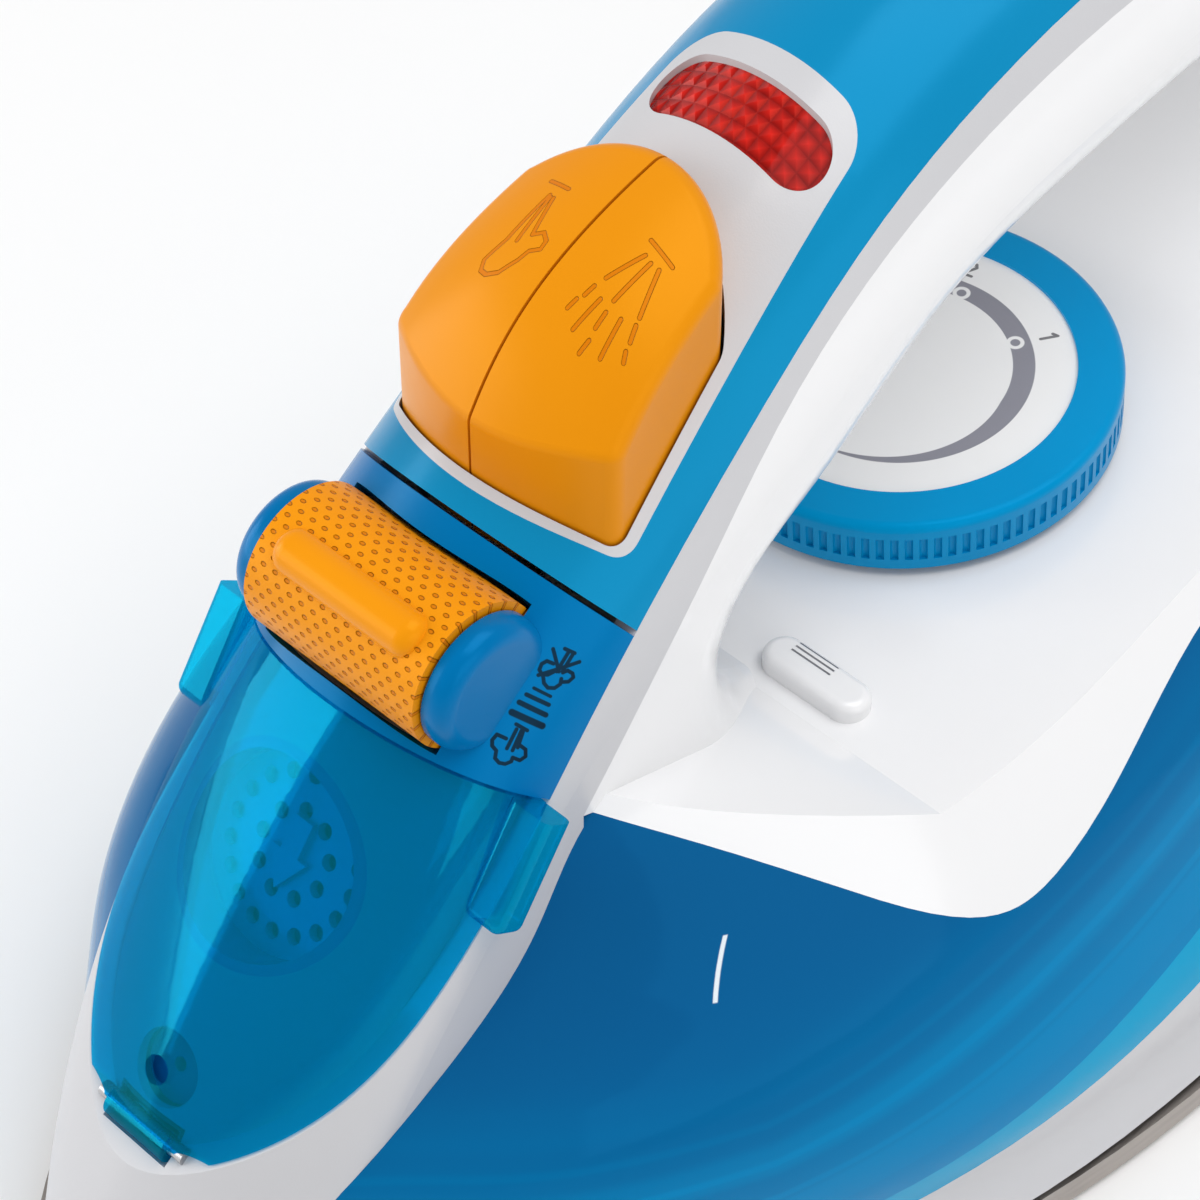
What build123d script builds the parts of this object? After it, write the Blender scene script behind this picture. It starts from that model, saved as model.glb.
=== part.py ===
from build123d import *
import os
from math import acos, cos, radians, sin, tan

os.makedirs("parts", exist_ok=True)

# Steam iron: nose towards -X, heel towards +X, +Z up, origin under the middle of its box.

# Overall sizes
overall_length = 286.0
overall_height = 136.5
sole_length = 226.0
sole_width = 124.0
grip_width = 39.6
nose_x = -overall_length / 2
heel_x = overall_length / 2
sole_rear_x = nose_x + sole_length
grip_half = grip_width / 2
far = 200.0

# Walls, clearances and seams
shell_wall = 2.5
grip_wall = 3.5
grip_edge_radius = 8.0
lid_wall = 2.15
lid_gap = 0.35
moving_gap = 0.35
running_gap = 0.06
panel_gap = 0.6
recess_wall = 2.2
recess_lap = 4.0

# Sole and heater
sole_thickness = 5.0
sole_edge_radius = 1.4
sole_tip_radius = 4.0
sole_tip_loss = 1.31
sole_corner_radius = 16.0
sole_widest_x = -8.0
sole_rear_half = 53.0
shield_thickness = 1.5
shield_inset = 1.2
casting_inset = 9.0
casting_height = 5.0
chamber_inset = 20.0
chamber_depth = 3.0
element_radius = 2.0
element_inset = 12.0
gasket_thickness = 0.6
gasket_width = 4.5
cover_thickness = 1.2
sole_rear_bow = 6.0
least_corner = 2.0
chamber_front_x = -104.0
element_lift = 0.6
element_angles = (0, 18, 35.5)
element_tip_x = -127.0
element_bend = 14.0
element_stub = 5.0
steam_hole_radius = 1.2
steam_hole_inset = 25.0
steam_hole_angles = (6, 10, 14, 18, 22, 26, 30, 34)
cover_screw_angles = (8, 27)
cover_screw_inset = 17.8
cover_screw_radius = 1.0
cover_screw_head = 2.0
cover_screw_height = 0.7
cover_screw_depth = 5.0
fuse_x = 32.0
fuse_radius = 2.5
fuse_length = 16.0
fuse_clip = 7.0

# Tilted dial on its platform
dial_x = -6.0
dial_z = 70.0
dial_tilt = 5.47
dial_radius = 25.2
dial_face_radius = 19.9
dial_face_thickness = 1.2
dial_height = 6.6
dial_hub_radius = 7.0
platform_drop = 7.5
shaft_radius = 3.0
shaft_clearance = 1.5
thermostat_radius = 11.0
thermostat_height = 9.0
dial_rim = 0.4
dial_web = 2.5
dial_wall = 2.4
dial_grooves = 100
dial_groove_radius = 0.45
dial_edge_radius = 1.0
dial_knurl_drop = 2.0
dial_knurl_height = 3.2
shaft_end_gap = 1.0
pointer_x = -41.5
pointer_y = -19.8
pointer_width = 5.0
pointer_length = 14.0
pointer_height = 2.2

# Side view of the ridge from nose to heel
lid_tip_x = nose_x + 18.8
lid_tip_z = 36.8
lid_top_x = nose_x + 50.0
lid_top_z = 81.0
panel_top_x = nose_x + 67.0
panel_top_z = 95.6
console_x = -50.0
console_z = 113.0
lens_x = -29.7
lens_z = 124.2
grip_front_x = -4.0
grip_front_z = overall_height - 5.1
grip_top_x = 40.0
grip_rear_x = 80.0
grip_rear_z = overall_height - 3.5
tail_x = 112.0
tail_z = overall_height - 15.0
heel_top_z = 99.0

# Heights of the seams on the flanks
skirt_bottom_z = sole_thickness + shield_thickness
skirt_nose_z = 13.0
band_height = 4.0
ledge_z = 61.3
ledge_end_x = -43.5
deck_front_x = -79.6
deck_front_z = 70.0
deck_end_x = -46.0
deck_foot = 6.0
post_room_back = 50.0
seam_corner_x = nose_x + 65.4
seam_corner_z = 67.6
waist_x = -43.0
waist_z = 48.0
tank_front_x = -118.0
tank_rear_x = 67.0
tank_cover_z = 46.0
tank_cover_thickness = 2.5
heel_cover_thickness = 4.0
heel_step_z = 30.0

# Console
button_split = 0.35
button_front_x = -72.4
button_rear_x = -44.4
button_front_half = 15.2
button_rear_half = 12.9
button_crown_radius = 23.0
button_corner_x = -67.5
button_side_x = -51.0
button_flank = 17.0
button_skirt = 8.0
button_foot_z = 80.0
button_edge_radius = 2.0
button_corner_radius = 2.0
button_ridge = [
    (-78.0, 97.0),
    (-73.0, 103.6),
    (-70.0, 108.4),
    (-66.0, 112.9),
    (-60.0, 117.0),
    (-45.3, 121.9),
    (-40.0, 122.8),
]
trim_border = 1.3
trim_rear_x = -28.2
trim_rear_half = 11.6
trim_corner_radius = 4.5
lamp_radius = 3.0
lamp_length = 12.0
panel_cut = (-93.1, 81.5, 36.0)
console_cut = (-75.9, 95.3, 52.0)
lens_centre_x = -34.6
lens_length = 22.0
lens_width = 7.0
lens_recess = 0.8
lens_depth = 4.0

# Steam roller
roller_x = -84.0
roller_z = 86.6
roller_radius = 8.2
roller_length = 24.0
rib_radius = 2.6
rib_centre = 7.1
rib_half = 10.0
rib_end_radius = 2.0
cheek_radius = 7.4
cheek_thickness = 2.9
cheek_edge_radius = 2.0
axle_radius = 1.6
axle_half = 14.2
roller_gap = 0.6
roller_rib_angle = 127.0

# Pumps under the buttons
pump_x = -63.0
pump_y = 8.2
pump_radius = 6.0
pump_bore = 4.5
pump_height = 20.0
pump_wall = 2.0
stem_radius = 2.0
stem_top_z = 98.0
piston_height = 4.0
collar_radius = 3.6
collar_height = 1.2
spring_length = 7.2
spring_wire = 0.3
spring_radius = 3.0
spring_turns = 4
hose_radius = 2.0
hose_z = 65.0
hose_lead = 12.0

# Steam valve
valve_radius = 1.8
valve_seat_radius = 5.0
valve_seat_height = 5.0
valve_lift = 1.5

# Filler and nozzle
funnel_x = -104.5
funnel_radius = 12.0
funnel_wall = 1.2
funnel_depth = 9.0
funnel_outlet = 4.0
strainer_depth = 5.0
strainer_thickness = 1.2
strainer_hole = 0.9
strainer_ring = 8.4
strainer_hub = 2.8
arrow_length = 8.0
arrow_width = 5.0
arrow_height = 0.8
nozzle_x = -118.6
nozzle_radius = 4.2
nozzle_length = 11.0
nozzle_depth = 3.6
nozzle_orifice = 0.8
nozzle_window = 1.6
hinge_x = -122.2
hinge_clearance = 0.4
hinge_pin_half = 6.4
hinge_depth = 1.6
hinge_radius = 1.9
hinge_half = 4.4
hinge_pin_radius = 0.9
tab_length = 15.0
tab_height = 3.2
tab_width = 4.6
tab_edge_radius = 1.2
tab_x = -87.6
tab_z = 70.2
tab_slope = 56.0

# Heel
gland_x = 121.0
gland_radius = 6.5
gland_bore = 3.6
gland_length = 16.0
gland_flange = 8.5
gland_stand = 6.0
gland_collar_depth = 7.0
gland_collar = 2.0
foot_width = 10.0
foot_length = 22.0
foot_height = 1.2
foot_places = [(-26.0, 42.0), (26.0, 42.0), (0.0, 88.0)]
heel_rim_radius = 1.2
heel_screw_head = 3.2
heel_screw_radius = 1.5
heel_screw_length = 10.0
heel_screw_rise = 1.0
heel_screw_places = [(-12.0, 58.0), (12.0, 58.0)]
terminal_size = (14.0, 40.0, 12.0)
terminal_hole = 2.5
terminal_pitch = 14.0

# One station of the ridge: x, crown height, half width, crown depth, liner drop, liner strip
ridge = [
    (nose_x + 5.4, 14.0, 2.2, 6.0, 0, 0),
    (nose_x + 8.0, 18.6, 6.0, 10.0, 0, 0),
    (nose_x + 12.5, 26.3, 9.8, 14.5, 0, 0),
    (lid_tip_x, lid_tip_z, 14.4, 19.0, 0, 0),
    (nose_x + 31.5, 57.0, grip_half, 23.0, 0, 0),
    (lid_top_x, lid_top_z, grip_half + 1.1, 23.0, 19.1, 0),
    (panel_top_x, panel_top_z, grip_half + 0.6, 21.0, 15.8, 10.4),
    (console_x, console_z, grip_half + 0.2, 20.0, 10.6, 3.2),
    (lens_x, lens_z, grip_half, 20.0, 8.6, 2.6),
    (grip_front_x, grip_front_z, grip_half, 19.5, 7.2, 3.0),
    (grip_top_x, overall_height, grip_half, 19.0, 8.0, 3.5),
    (grip_rear_x, grip_rear_z, grip_half + 0.8, 19.0, 8.0, 3.5),
    (tail_x, tail_z, grip_half + 2.2, 19.5, 9.0, 3.8),
    (heel_x + 6.0, heel_top_z, grip_half + 4.0, 20.0, 11.0, 4.0),
]
inner_start = 2
lid_top_station = 5
panel_station = 6

# One level of the lower body: z, nose tip, draw-in of the flank, bluntness, draw-in at the heel
levels = [
    (skirt_bottom_z, nose_x + 2.0, 0.6, 2.35, 15.0),
    (18.0, nose_x + 5.5, 2.2, 2.4, 16.0),
    (30.0, nose_x + 9.0, 3.8, 2.7, 17.0),
    (40.0, nose_x + 16.3, 7.5, 3.0, 19.0),
    (50.0, nose_x + 34.5, 11.5, 3.0, 21.0),
    (60.0, nose_x + 42.0, 19.0, 3.0, 25.0),
    (68.0, nose_x + 47.0, 26.0, 3.0, 29.0),
    (84.0, nose_x + 54.0, 38.0, 3.0, 36.0),
]
front_shares = (0.1, 0.25, 0.45, 0.7, 1.0)
rear_shares = (0.35, 0.7, 1.0)

# Planes of the dial, the lid and the heel
tilt = radians(dial_tilt)
dial_plane = Plane((dial_x, 0, dial_z), x_dir=(cos(tilt), 0, sin(tilt)), z_dir=(-sin(tilt), 0, cos(tilt)))
cover_x = heel_x - heel_cover_thickness


def bar(inset, first=0):
    """Nose, post and grip as one bar with a rounded crown, shrunk by an inset."""
    with BuildPart() as solid:
        for x, crown, half, depth, drop, strip in ridge[first:]:
            with BuildSketch(Plane.YZ.offset(x)):
                with BuildLine():
                    top = EllipticalCenterArc(
                        (0, crown - depth), half - inset, depth - inset, start_angle=0, arc_size=180
                    )
                    Polyline(top @ 1, (inset - half, 0), (half - inset, 0), top @ 0)
                make_face()
        loft()
    return solid.part


def body(inset):
    """Boat shaped lower body from skirt to platform, shrunk by an inset."""
    with BuildPart() as solid:
        for z, tip, draw, bluntness, heel_draw in levels:
            half = sole_width / 2 - draw - inset
            heel_half = sole_width / 2 - heel_draw - inset
            front = tip + inset
            run = sole_widest_x - front
            tail = heel_x + 8 - sole_widest_x
            flank = [(front + f * run, half * (1 - (1 - f) ** bluntness)) for f in front_shares]
            flank += [(sole_widest_x + g * tail, half - (half - heel_half) * g**2) for g in rear_shares]
            end = flank[-1]
            with BuildSketch(Plane.XY.offset(z)):
                with BuildLine():
                    side = Spline((front, 0), *flank, tangents=[(0, 1), (tail, 2 * (heel_half - half))])
                    mirror(side, about=Plane.XZ)
                    Line(end, (end[0], -end[1]))
                make_face()
        loft()
    return solid.part


def side_region(*edges):
    """Solid that covers a closed side view outline across the whole width."""
    with BuildPart() as region:
        with BuildSketch(Plane.XZ.offset(-far)):
            with BuildLine():
                for points, curved in edges:
                    if curved:
                        Spline(*points)
                    else:
                        Polyline(*points)
            make_face()
        extrude(amount=2 * far)
    return region.part


def above(points):
    """Everything above a smooth side view curve."""
    first, last = points[0], points[-1]
    return side_region((points, True), ([last, (last[0], far), (first[0], far), first], False))


def raised(points, rise):
    return [(x, z + rise) for x, z in points]


def grown(points, amount):
    """Points of an arch, moved outwards square to its curve."""
    moved = []
    for before, here, after in zip(points[:1] + points, points, points[1:] + points[-1:]):
        run, rise = after[0] - before[0], after[1] - before[1]
        share = amount / (run**2 + rise**2) ** 0.5
        moved.append((here[0] - rise * share, here[1] + run * share))
    return moved


# Side view seams
liner_top = [(nose_x - 10, lid_tip_z - 23.2), (lid_tip_x, lid_tip_z - 0.2)]
liner_top += [(x, crown - drop) for x, crown, half, depth, drop, strip in ridge[lid_top_station:]]
grip_seam = [(seam_corner_x, seam_corner_z)]
grip_seam += [(x, crown - drop - strip) for x, crown, half, depth, drop, strip in ridge[panel_station:]]
skirt_seam = [
    (nose_x - 10, skirt_nose_z),
    (-110, skirt_nose_z),
    (-76, skirt_nose_z + 0.2),
    (-53, skirt_nose_z + 3.0),
    (-23.5, skirt_nose_z + 9.5),
    (5, skirt_nose_z + 15.3),
    (40, skirt_nose_z + 20.0),
    (90, skirt_nose_z + 22.4),
    (heel_x + 20, skirt_nose_z + 23.0),
]
band_rise = (0, 0, 0.3, 1.6, 3.0, 3.6, 4.0, 4.0, 4.0)
band_seam = [(x, z + band_height + rise) for (x, z), rise in zip(skirt_seam, band_rise)]
platform_slope = tan(tilt)


def platform_z(x):
    return dial_z - platform_drop / cos(tilt) + (x - dial_x) * platform_slope


flank_seam = [
    (seam_corner_x, seam_corner_z),
    (seam_corner_x + 9, seam_corner_z - 4.8),
    (waist_x - 14.5, waist_z + 7.0),
    (waist_x - 7, waist_z + 2.2),
    (waist_x, waist_z),
    (waist_x + 8, waist_z + 1.3),
    (waist_x + 23.5, waist_z + 7.0),
    (dial_x, platform_z(dial_x) - 3.4),
    (12, platform_z(12) - 2.6),
    (32, platform_z(32) - 2.6),
    (tank_rear_x - 20, platform_z(tank_rear_x - 20) - 3.4),
    (tank_rear_x - 10, platform_z(tank_rear_x - 10) - 9.0),
    (tank_rear_x - 4, 50.0),
    (tank_rear_x, 36.0),
    (tank_rear_x + 2, 22.0),
]
prow_foot = [
    (nose_x - 10, skirt_nose_z + band_height),
    (-118, skirt_nose_z + band_height + 0.3),
    (-108, 26),
    (-97, 42),
    (-86, 51),
    (-80, 58),
    (seam_corner_x, seam_corner_z),
]
platform_edge = [
    (nose_x - 10, deck_front_z),
    (deck_front_x, deck_front_z),
    (deck_end_x, platform_z(deck_end_x)),
    (heel_x + 20, platform_z(heel_x + 20)),
]
deck_floor = [
    (nose_x - 10, ledge_z - shell_wall),
    (deck_end_x - deck_foot, ledge_z - shell_wall),
    (deck_end_x, platform_z(deck_end_x) - shell_wall),
    (heel_x + 20, platform_z(heel_x + 20) - shell_wall),
]
hand_hole = [
    (-44.5, platform_z(-44.5)),
    (-52.0, 66.0),
    (-52.5, 75.0),
    (-40.0, 85.5),
    (-21.0, 97.8),
    (0.0, 103.6),
    (30.0, 107.2),
    (62.0, 106.4),
    (86.0, 101.0),
    (97.0, 90.0),
    (98.0, 80.0),
    (91.0, platform_z(91.0)),
]

# Bodies of material that the shells are cut from
bar_outer = bar(0)
bar_inner = bar(shell_wall, inner_start)
bar_grip = bar(grip_wall, inner_start)
body_outer = body(0)
body_inner = body(shell_wall)
over_liner = above(liner_top)
over_skirt = above(skirt_seam)
over_band = above(band_seam)
over_lid = above(raised(liner_top, lid_gap))
over_recess = above(raised(liner_top, -recess_lap))
white_zone = side_region(
    (flank_seam, True),
    ([flank_seam[-1], (ridge[-1][0], flank_seam[-1][1]), grip_seam[-1]], False),
    (grip_seam, True),
)
hole_zone = side_region((hand_hole, True), ([hand_hole[-1], hand_hole[0]], False))
hole_rim = grown(hand_hole, grip_wall)
hole_wall = side_region((hole_rim, True), ([hole_rim[-1], hole_rim[0]], False))
under_platform = side_region((platform_edge + [(heel_x + 20, 0), (nose_x - 10, 0), platform_edge[0]], False))
under_deck = side_region((deck_floor + [(heel_x + 20, 0), (nose_x - 10, 0), deck_floor[0]], False))
ahead_of_heel = side_region(
    ([(-far, -far), (cover_x, -far), (cover_x, far), (-far, far), (-far, -far)], False)
)


body_room = body_inner & under_deck
post_room = (bar_grip - hole_wall) & side_region(
    (
        [
            (-far, ledge_z),
            (ledge_end_x, ledge_z),
            (heel_x - post_room_back, platform_z(heel_x - post_room_back)),
            (far, platform_z(far)),
        ],
        False,
    ),
    ([(far, platform_z(far)), (far, far), (-far, far), (-far, ledge_z)], False),
)


def spans(edge, low_x, high_x, low_length):
    """True for a long edge off the middle that stays within a stretch of the iron's length."""
    box = edge.bounding_box()
    return box.min.X > low_x and box.max.X < high_x and edge.length > low_length and box.min.Y * box.max.Y > 0


# White saddle: dial platform, front post, underside of the grip and sides of the heel
with BuildPart() as upper_housing:
    add(body_outer)
    add(under_platform, mode=Mode.INTERSECT)
    add(bar_outer)
    add(white_zone, mode=Mode.INTERSECT)
    add(over_skirt, mode=Mode.INTERSECT)
    add(ahead_of_heel, mode=Mode.INTERSECT)
    add(hole_zone, mode=Mode.SUBTRACT)
    grip_edges = upper_housing.edges().filter_by(lambda e: spans(e, -60, 110, 120))
    fillet(grip_edges, grip_edge_radius)
    add(body_room, mode=Mode.SUBTRACT)
    add(post_room, mode=Mode.SUBTRACT)
    with Locations(dial_plane):
        Cylinder(shaft_radius + shaft_clearance, far, mode=Mode.SUBTRACT)
upper_housing.part.label = "upper_housing"
export_step(upper_housing.part, "parts/upper_housing.step")


# Frame of reference for the rounded nose of the sole
half_width = sole_width / 2
nose_run = sole_widest_x - nose_x + sole_tip_loss
ogive_radius = (nose_run**2 + half_width**2) / (2 * half_width)


def ogive_point(inset, angle):
    """Point on the flank of the nose, at an angle in front of its widest place."""
    reach = ogive_radius - inset
    return sole_widest_x - reach * sin(angle), half_width - ogive_radius + reach * cos(angle)


def flipped(point):
    return point[0], -point[1]


def paired(inset, angles):
    """Places on both flanks of the nose."""
    places = [ogive_point(inset, radians(angle)) for angle in angles]
    return places + [flipped(place) for place in places]


def sole_plate(bottom, height, inset, front=nose_x):
    """Plate with the outline of the sole, shrunk by an inset and cut off square at the front."""
    tip_angle = acos((ogive_radius - half_width) / (ogive_radius - inset))
    widest = ogive_point(inset, 0)
    corner = (sole_rear_x - sole_rear_bow - inset, sole_rear_half - inset)
    with BuildPart() as plate:
        with BuildSketch(Plane.XY.offset(bottom)) as outline:
            with BuildLine():
                ThreePointArc(ogive_point(inset, tip_angle), ogive_point(inset, tip_angle / 2), widest)
                TangentArc(widest, corner, tangent=(1, 0))
                mirror(about=Plane.XZ)
                ThreePointArc(corner, (sole_rear_x - inset, 0), flipped(corner))
            make_face()
            fillet(outline.vertices().sort_by(Axis.X)[0], max(sole_tip_radius - inset, least_corner))
            fillet(outline.vertices().sort_by(Axis.X)[-2:], max(sole_corner_radius - inset, least_corner))
            with Locations((front, 0)):
                Rectangle(far, far, align=(Align.MAX, Align.CENTER), mode=Mode.SUBTRACT)
        extrude(amount=height)
    return plate.part


def slab(low, high):
    """Everything between two heights."""
    return side_region(([(-far, low), (far, low), (far, high), (-far, high), (-far, low)], False))


def stretch(low, high):
    """Everything between two places along the iron."""
    return side_region(([(low, -far), (high, -far), (high, far), (low, far), (low, -far)], False))


def behind(cut, shift):
    """Everything behind a slanted cut across the ridge."""
    x, z, angle = cut
    along = Vector(cos(radians(angle)), -sin(radians(angle)))
    out = Vector(sin(radians(angle)), cos(radians(angle)))
    base = Vector(x, z) + out * shift
    corners = [base - along * far, base + along * far, base + (along + out) * far, base + (out - along) * far]
    return side_region(([(c.X, c.Y) for c in corners + corners[:1]], False))


def crossbar(x, z, radius, half):
    """Round bar across the iron."""
    with BuildPart() as rod:
        with BuildSketch(Plane.XZ.offset(-half)):
            with Locations((x, z)):
                Circle(radius)
        extrude(amount=2 * half)
    return rod.part


crown_face = bar_outer.faces().sort_by(Axis.Z)[-1]


def crown_plane(x, depth=0.0):
    """Plane square to the ridge, sunk by a depth; its y axis points down the slope of the nose."""
    hits = crown_face.find_intersection_points(Axis((x, 0, far), (0, 0, -1)))
    point, normal = max(hits, key=lambda hit: hit[0].Z)
    if normal.Z < 0:
        normal = -normal
    return Plane(point - normal * depth, x_dir=(0, 1, 0), z_dir=normal)


# Sole plate with its steam holes
casting_top = sole_thickness + casting_height
with BuildPart() as soleplate:
    add(sole_plate(0, sole_thickness, 0))
    fillet(soleplate.faces().sort_by(Axis.Z)[0].edges(), sole_edge_radius)
    with Locations(*paired(steam_hole_inset, steam_hole_angles)):
        Cylinder(steam_hole_radius, far, mode=Mode.SUBTRACT)
soleplate.part.label = "soleplate"
export_step(soleplate.part, "parts/soleplate.step")

# Tube heater, bent round the steam chamber and open at the heel
element_z = sole_thickness + element_radius + element_lift
element_side = [(sole_rear_x - casting_inset + element_stub, sole_rear_half - element_inset)]
element_side += [ogive_point(element_inset, radians(angle)) for angle in element_angles]
element_other = [flipped(point) for point in reversed(element_side)]
with BuildPart() as heating_element:
    with BuildLine(Plane.XY.offset(element_z)) as element_path:
        FilletPolyline(*element_side, (element_tip_x, 0), *element_other, radius=element_bend)
    with BuildSketch(Plane(element_path.line @ 0, z_dir=element_path.line % 0)):
        Circle(element_radius)
    sweep()
heating_element.part.label = "heating_element"
export_step(heating_element.part, "parts/heating_element.step")

# Black heat shield between the sole and the skirt, notched where the heater ends come out
with BuildPart() as heat_shield:
    add(sole_plate(sole_thickness, shield_thickness, shield_inset))
    add(sole_plate(sole_thickness, shield_thickness, casting_inset), mode=Mode.SUBTRACT)
    add(heating_element.part, mode=Mode.SUBTRACT)
heat_shield.part.label = "heat_shield"
export_step(heat_shield.part, "parts/heat_shield.step")

# Screws of the chamber cover
cover_bottom = casting_top + gasket_thickness
cover_top = cover_bottom + cover_thickness
with BuildPart() as cover_screws:
    with Locations(*[(x, y, cover_top) for x, y in paired(cover_screw_inset, cover_screw_angles)]):
        Cylinder(cover_screw_head, cover_screw_height, align=(Align.CENTER, Align.CENTER, Align.MIN))
        Cylinder(cover_screw_radius, cover_screw_depth, align=(Align.CENTER, Align.CENTER, Align.MAX))
cover_screws.part.label = "cover_screws"
export_step(cover_screws.part, "parts/cover_screws.step")

# Cast heater block with the steam chamber in its top
with BuildPart() as heater_casting:
    add(sole_plate(sole_thickness, casting_height, casting_inset))
    add(
        sole_plate(casting_top - chamber_depth, chamber_depth, chamber_inset, chamber_front_x),
        mode=Mode.SUBTRACT,
    )
    add(heating_element.part, mode=Mode.SUBTRACT)
    add(cover_screws.part, mode=Mode.SUBTRACT)
    with Locations(*paired(steam_hole_inset, steam_hole_angles)):
        Cylinder(steam_hole_radius, far, mode=Mode.SUBTRACT)
heater_casting.part.label = "heater_casting"
export_step(heater_casting.part, "parts/heater_casting.step")

# Seal and cover of the steam chamber
cover_inset = chamber_inset - gasket_width
cover_front_x = chamber_front_x - gasket_width
with BuildPart() as chamber_gasket:
    add(sole_plate(casting_top, gasket_thickness, cover_inset, cover_front_x))
    add(sole_plate(casting_top, gasket_thickness, chamber_inset, chamber_front_x), mode=Mode.SUBTRACT)
    add(cover_screws.part, mode=Mode.SUBTRACT)
chamber_gasket.part.label = "chamber_gasket"
export_step(chamber_gasket.part, "parts/chamber_gasket.step")

with BuildPart() as chamber_cover:
    add(sole_plate(cover_bottom, cover_thickness, cover_inset, cover_front_x))
    add(cover_screws.part, mode=Mode.SUBTRACT)
    with Locations((roller_x, 0, cover_bottom)):
        Cylinder(valve_radius, far, mode=Mode.SUBTRACT)
chamber_cover.part.label = "chamber_cover"
export_step(chamber_cover.part, "parts/chamber_cover.step")

# Thermostat on the chamber cover, in line with the dial, and the safety fuse
with BuildPart() as thermostat:
    with BuildSketch(dial_plane):
        Circle(thermostat_radius)
        Circle(shaft_radius + running_gap, mode=Mode.SUBTRACT)
    extrude(amount=-far)
    add(slab(cover_top, cover_top + thermostat_height), mode=Mode.INTERSECT)
thermostat.part.label = "thermostat"
export_step(thermostat.part, "parts/thermostat.step")

with BuildPart() as thermal_fuse:
    with Locations((fuse_x, 0, cover_top + fuse_radius)):
        Cylinder(fuse_radius, fuse_length, rotation=(0, 90, 0))
    with Locations((fuse_x, 0, cover_top)):
        Box(fuse_length / 2, fuse_clip, fuse_radius, align=(Align.CENTER, Align.CENTER, Align.MIN))
thermal_fuse.part.label = "thermal_fuse"
export_step(thermal_fuse.part, "parts/thermal_fuse.step")

# Light grey skirt, open over the heater and floored under the heel
heel_slope = (heel_step_z - skirt_bottom_z) / (heel_x - sole_rear_x)
heel_run = heel_x + 20
heel_low_z = skirt_bottom_z + (heel_run - sole_rear_x) * heel_slope
under_heel = side_region(
    ([(sole_rear_x, -far), (sole_rear_x, skirt_bottom_z), (heel_run, heel_low_z), (heel_run, -far)], False),
    ([(heel_run, -far), (sole_rear_x, -far)], False),
)
lip_x = sole_rear_x - shell_wall
skirt_room = body_inner & side_region(
    ([(-far, -far), (lip_x, -far), (lip_x, skirt_bottom_z + shell_wall)], False),
    ([(lip_x, skirt_bottom_z + shell_wall), (heel_run, heel_low_z + shell_wall), (heel_run, far)], False),
    ([(heel_run, far), (-far, far), (-far, -far)], False),
)
with BuildPart() as skirt:
    add(body_outer)
    add(over_skirt, mode=Mode.SUBTRACT)
    add(under_heel, mode=Mode.SUBTRACT)
    add(ahead_of_heel, mode=Mode.INTERSECT)
    add(skirt_room, mode=Mode.SUBTRACT)
skirt.part.label = "skirt"
export_step(skirt.part, "parts/skirt.step")

# Tower round the dial shaft, from the tank floor to the tank cover
with BuildPart() as tower:
    with BuildSketch(dial_plane):
        Circle(shaft_radius + shaft_clearance + shell_wall)
    extrude(amount=-far)
    add(over_skirt, mode=Mode.INTERSECT)
    add(slab(0, tank_cover_z), mode=Mode.INTERSECT)

# Lower half of the tank: band, floor and tower
over_floor = above(raised(skirt_seam, shell_wall))
tank_back = Pos(-shell_wall, 0, 0) * white_zone
tank_room = (body_inner & over_floor) - tank_back
with BuildPart() as tank_base:
    add(body_outer)
    add(over_skirt, mode=Mode.INTERSECT)
    add(over_band, mode=Mode.SUBTRACT)
    add(ahead_of_heel, mode=Mode.INTERSECT)
    add(tank_room, mode=Mode.SUBTRACT)
    add(tower.part)
    add(white_zone, mode=Mode.SUBTRACT)
    with Locations(dial_plane):
        Cylinder(shaft_radius + shaft_clearance, 2 * far, mode=Mode.SUBTRACT)
    with Locations((roller_x, 0)):
        Cylinder(valve_seat_radius, far, mode=Mode.SUBTRACT)
tank_base.part.label = "tank_base"
export_step(tank_base.part, "parts/tank_base.step")

# See-through tank wall with its rear wall
prow = bar_outer & stretch(-far, seam_corner_x)
rear_wall = (body_inner & over_band & slab(0, tank_cover_z) & stretch(0, far)) & tank_back
with BuildPart() as water_tank:
    add(body_outer)
    add(body_inner, mode=Mode.SUBTRACT)
    add(over_band, mode=Mode.INTERSECT)
    add(stretch(tank_front_x, cover_x), mode=Mode.INTERSECT)
    add(rear_wall)
    add(white_zone, mode=Mode.SUBTRACT)
    add(prow, mode=Mode.SUBTRACT)
    add(above(grip_seam), mode=Mode.SUBTRACT)
water_tank.part.label = "water_tank"
export_step(water_tank.part, "parts/water_tank.step")

# Inner cover of the tank
with BuildPart() as tank_cover:
    add(body_inner)
    add(ahead_of_heel, mode=Mode.INTERSECT)
    add(slab(tank_cover_z, tank_cover_z + tank_cover_thickness), mode=Mode.INTERSECT)
    add(tank_back & stretch(0, far), mode=Mode.SUBTRACT)
    add(prow, mode=Mode.SUBTRACT)
    with Locations(dial_plane):
        Cylinder(shaft_radius + shaft_clearance, 2 * far, mode=Mode.SUBTRACT)
tank_cover.part.label = "tank_cover"
export_step(tank_cover.part, "parts/tank_cover.step")

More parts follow.
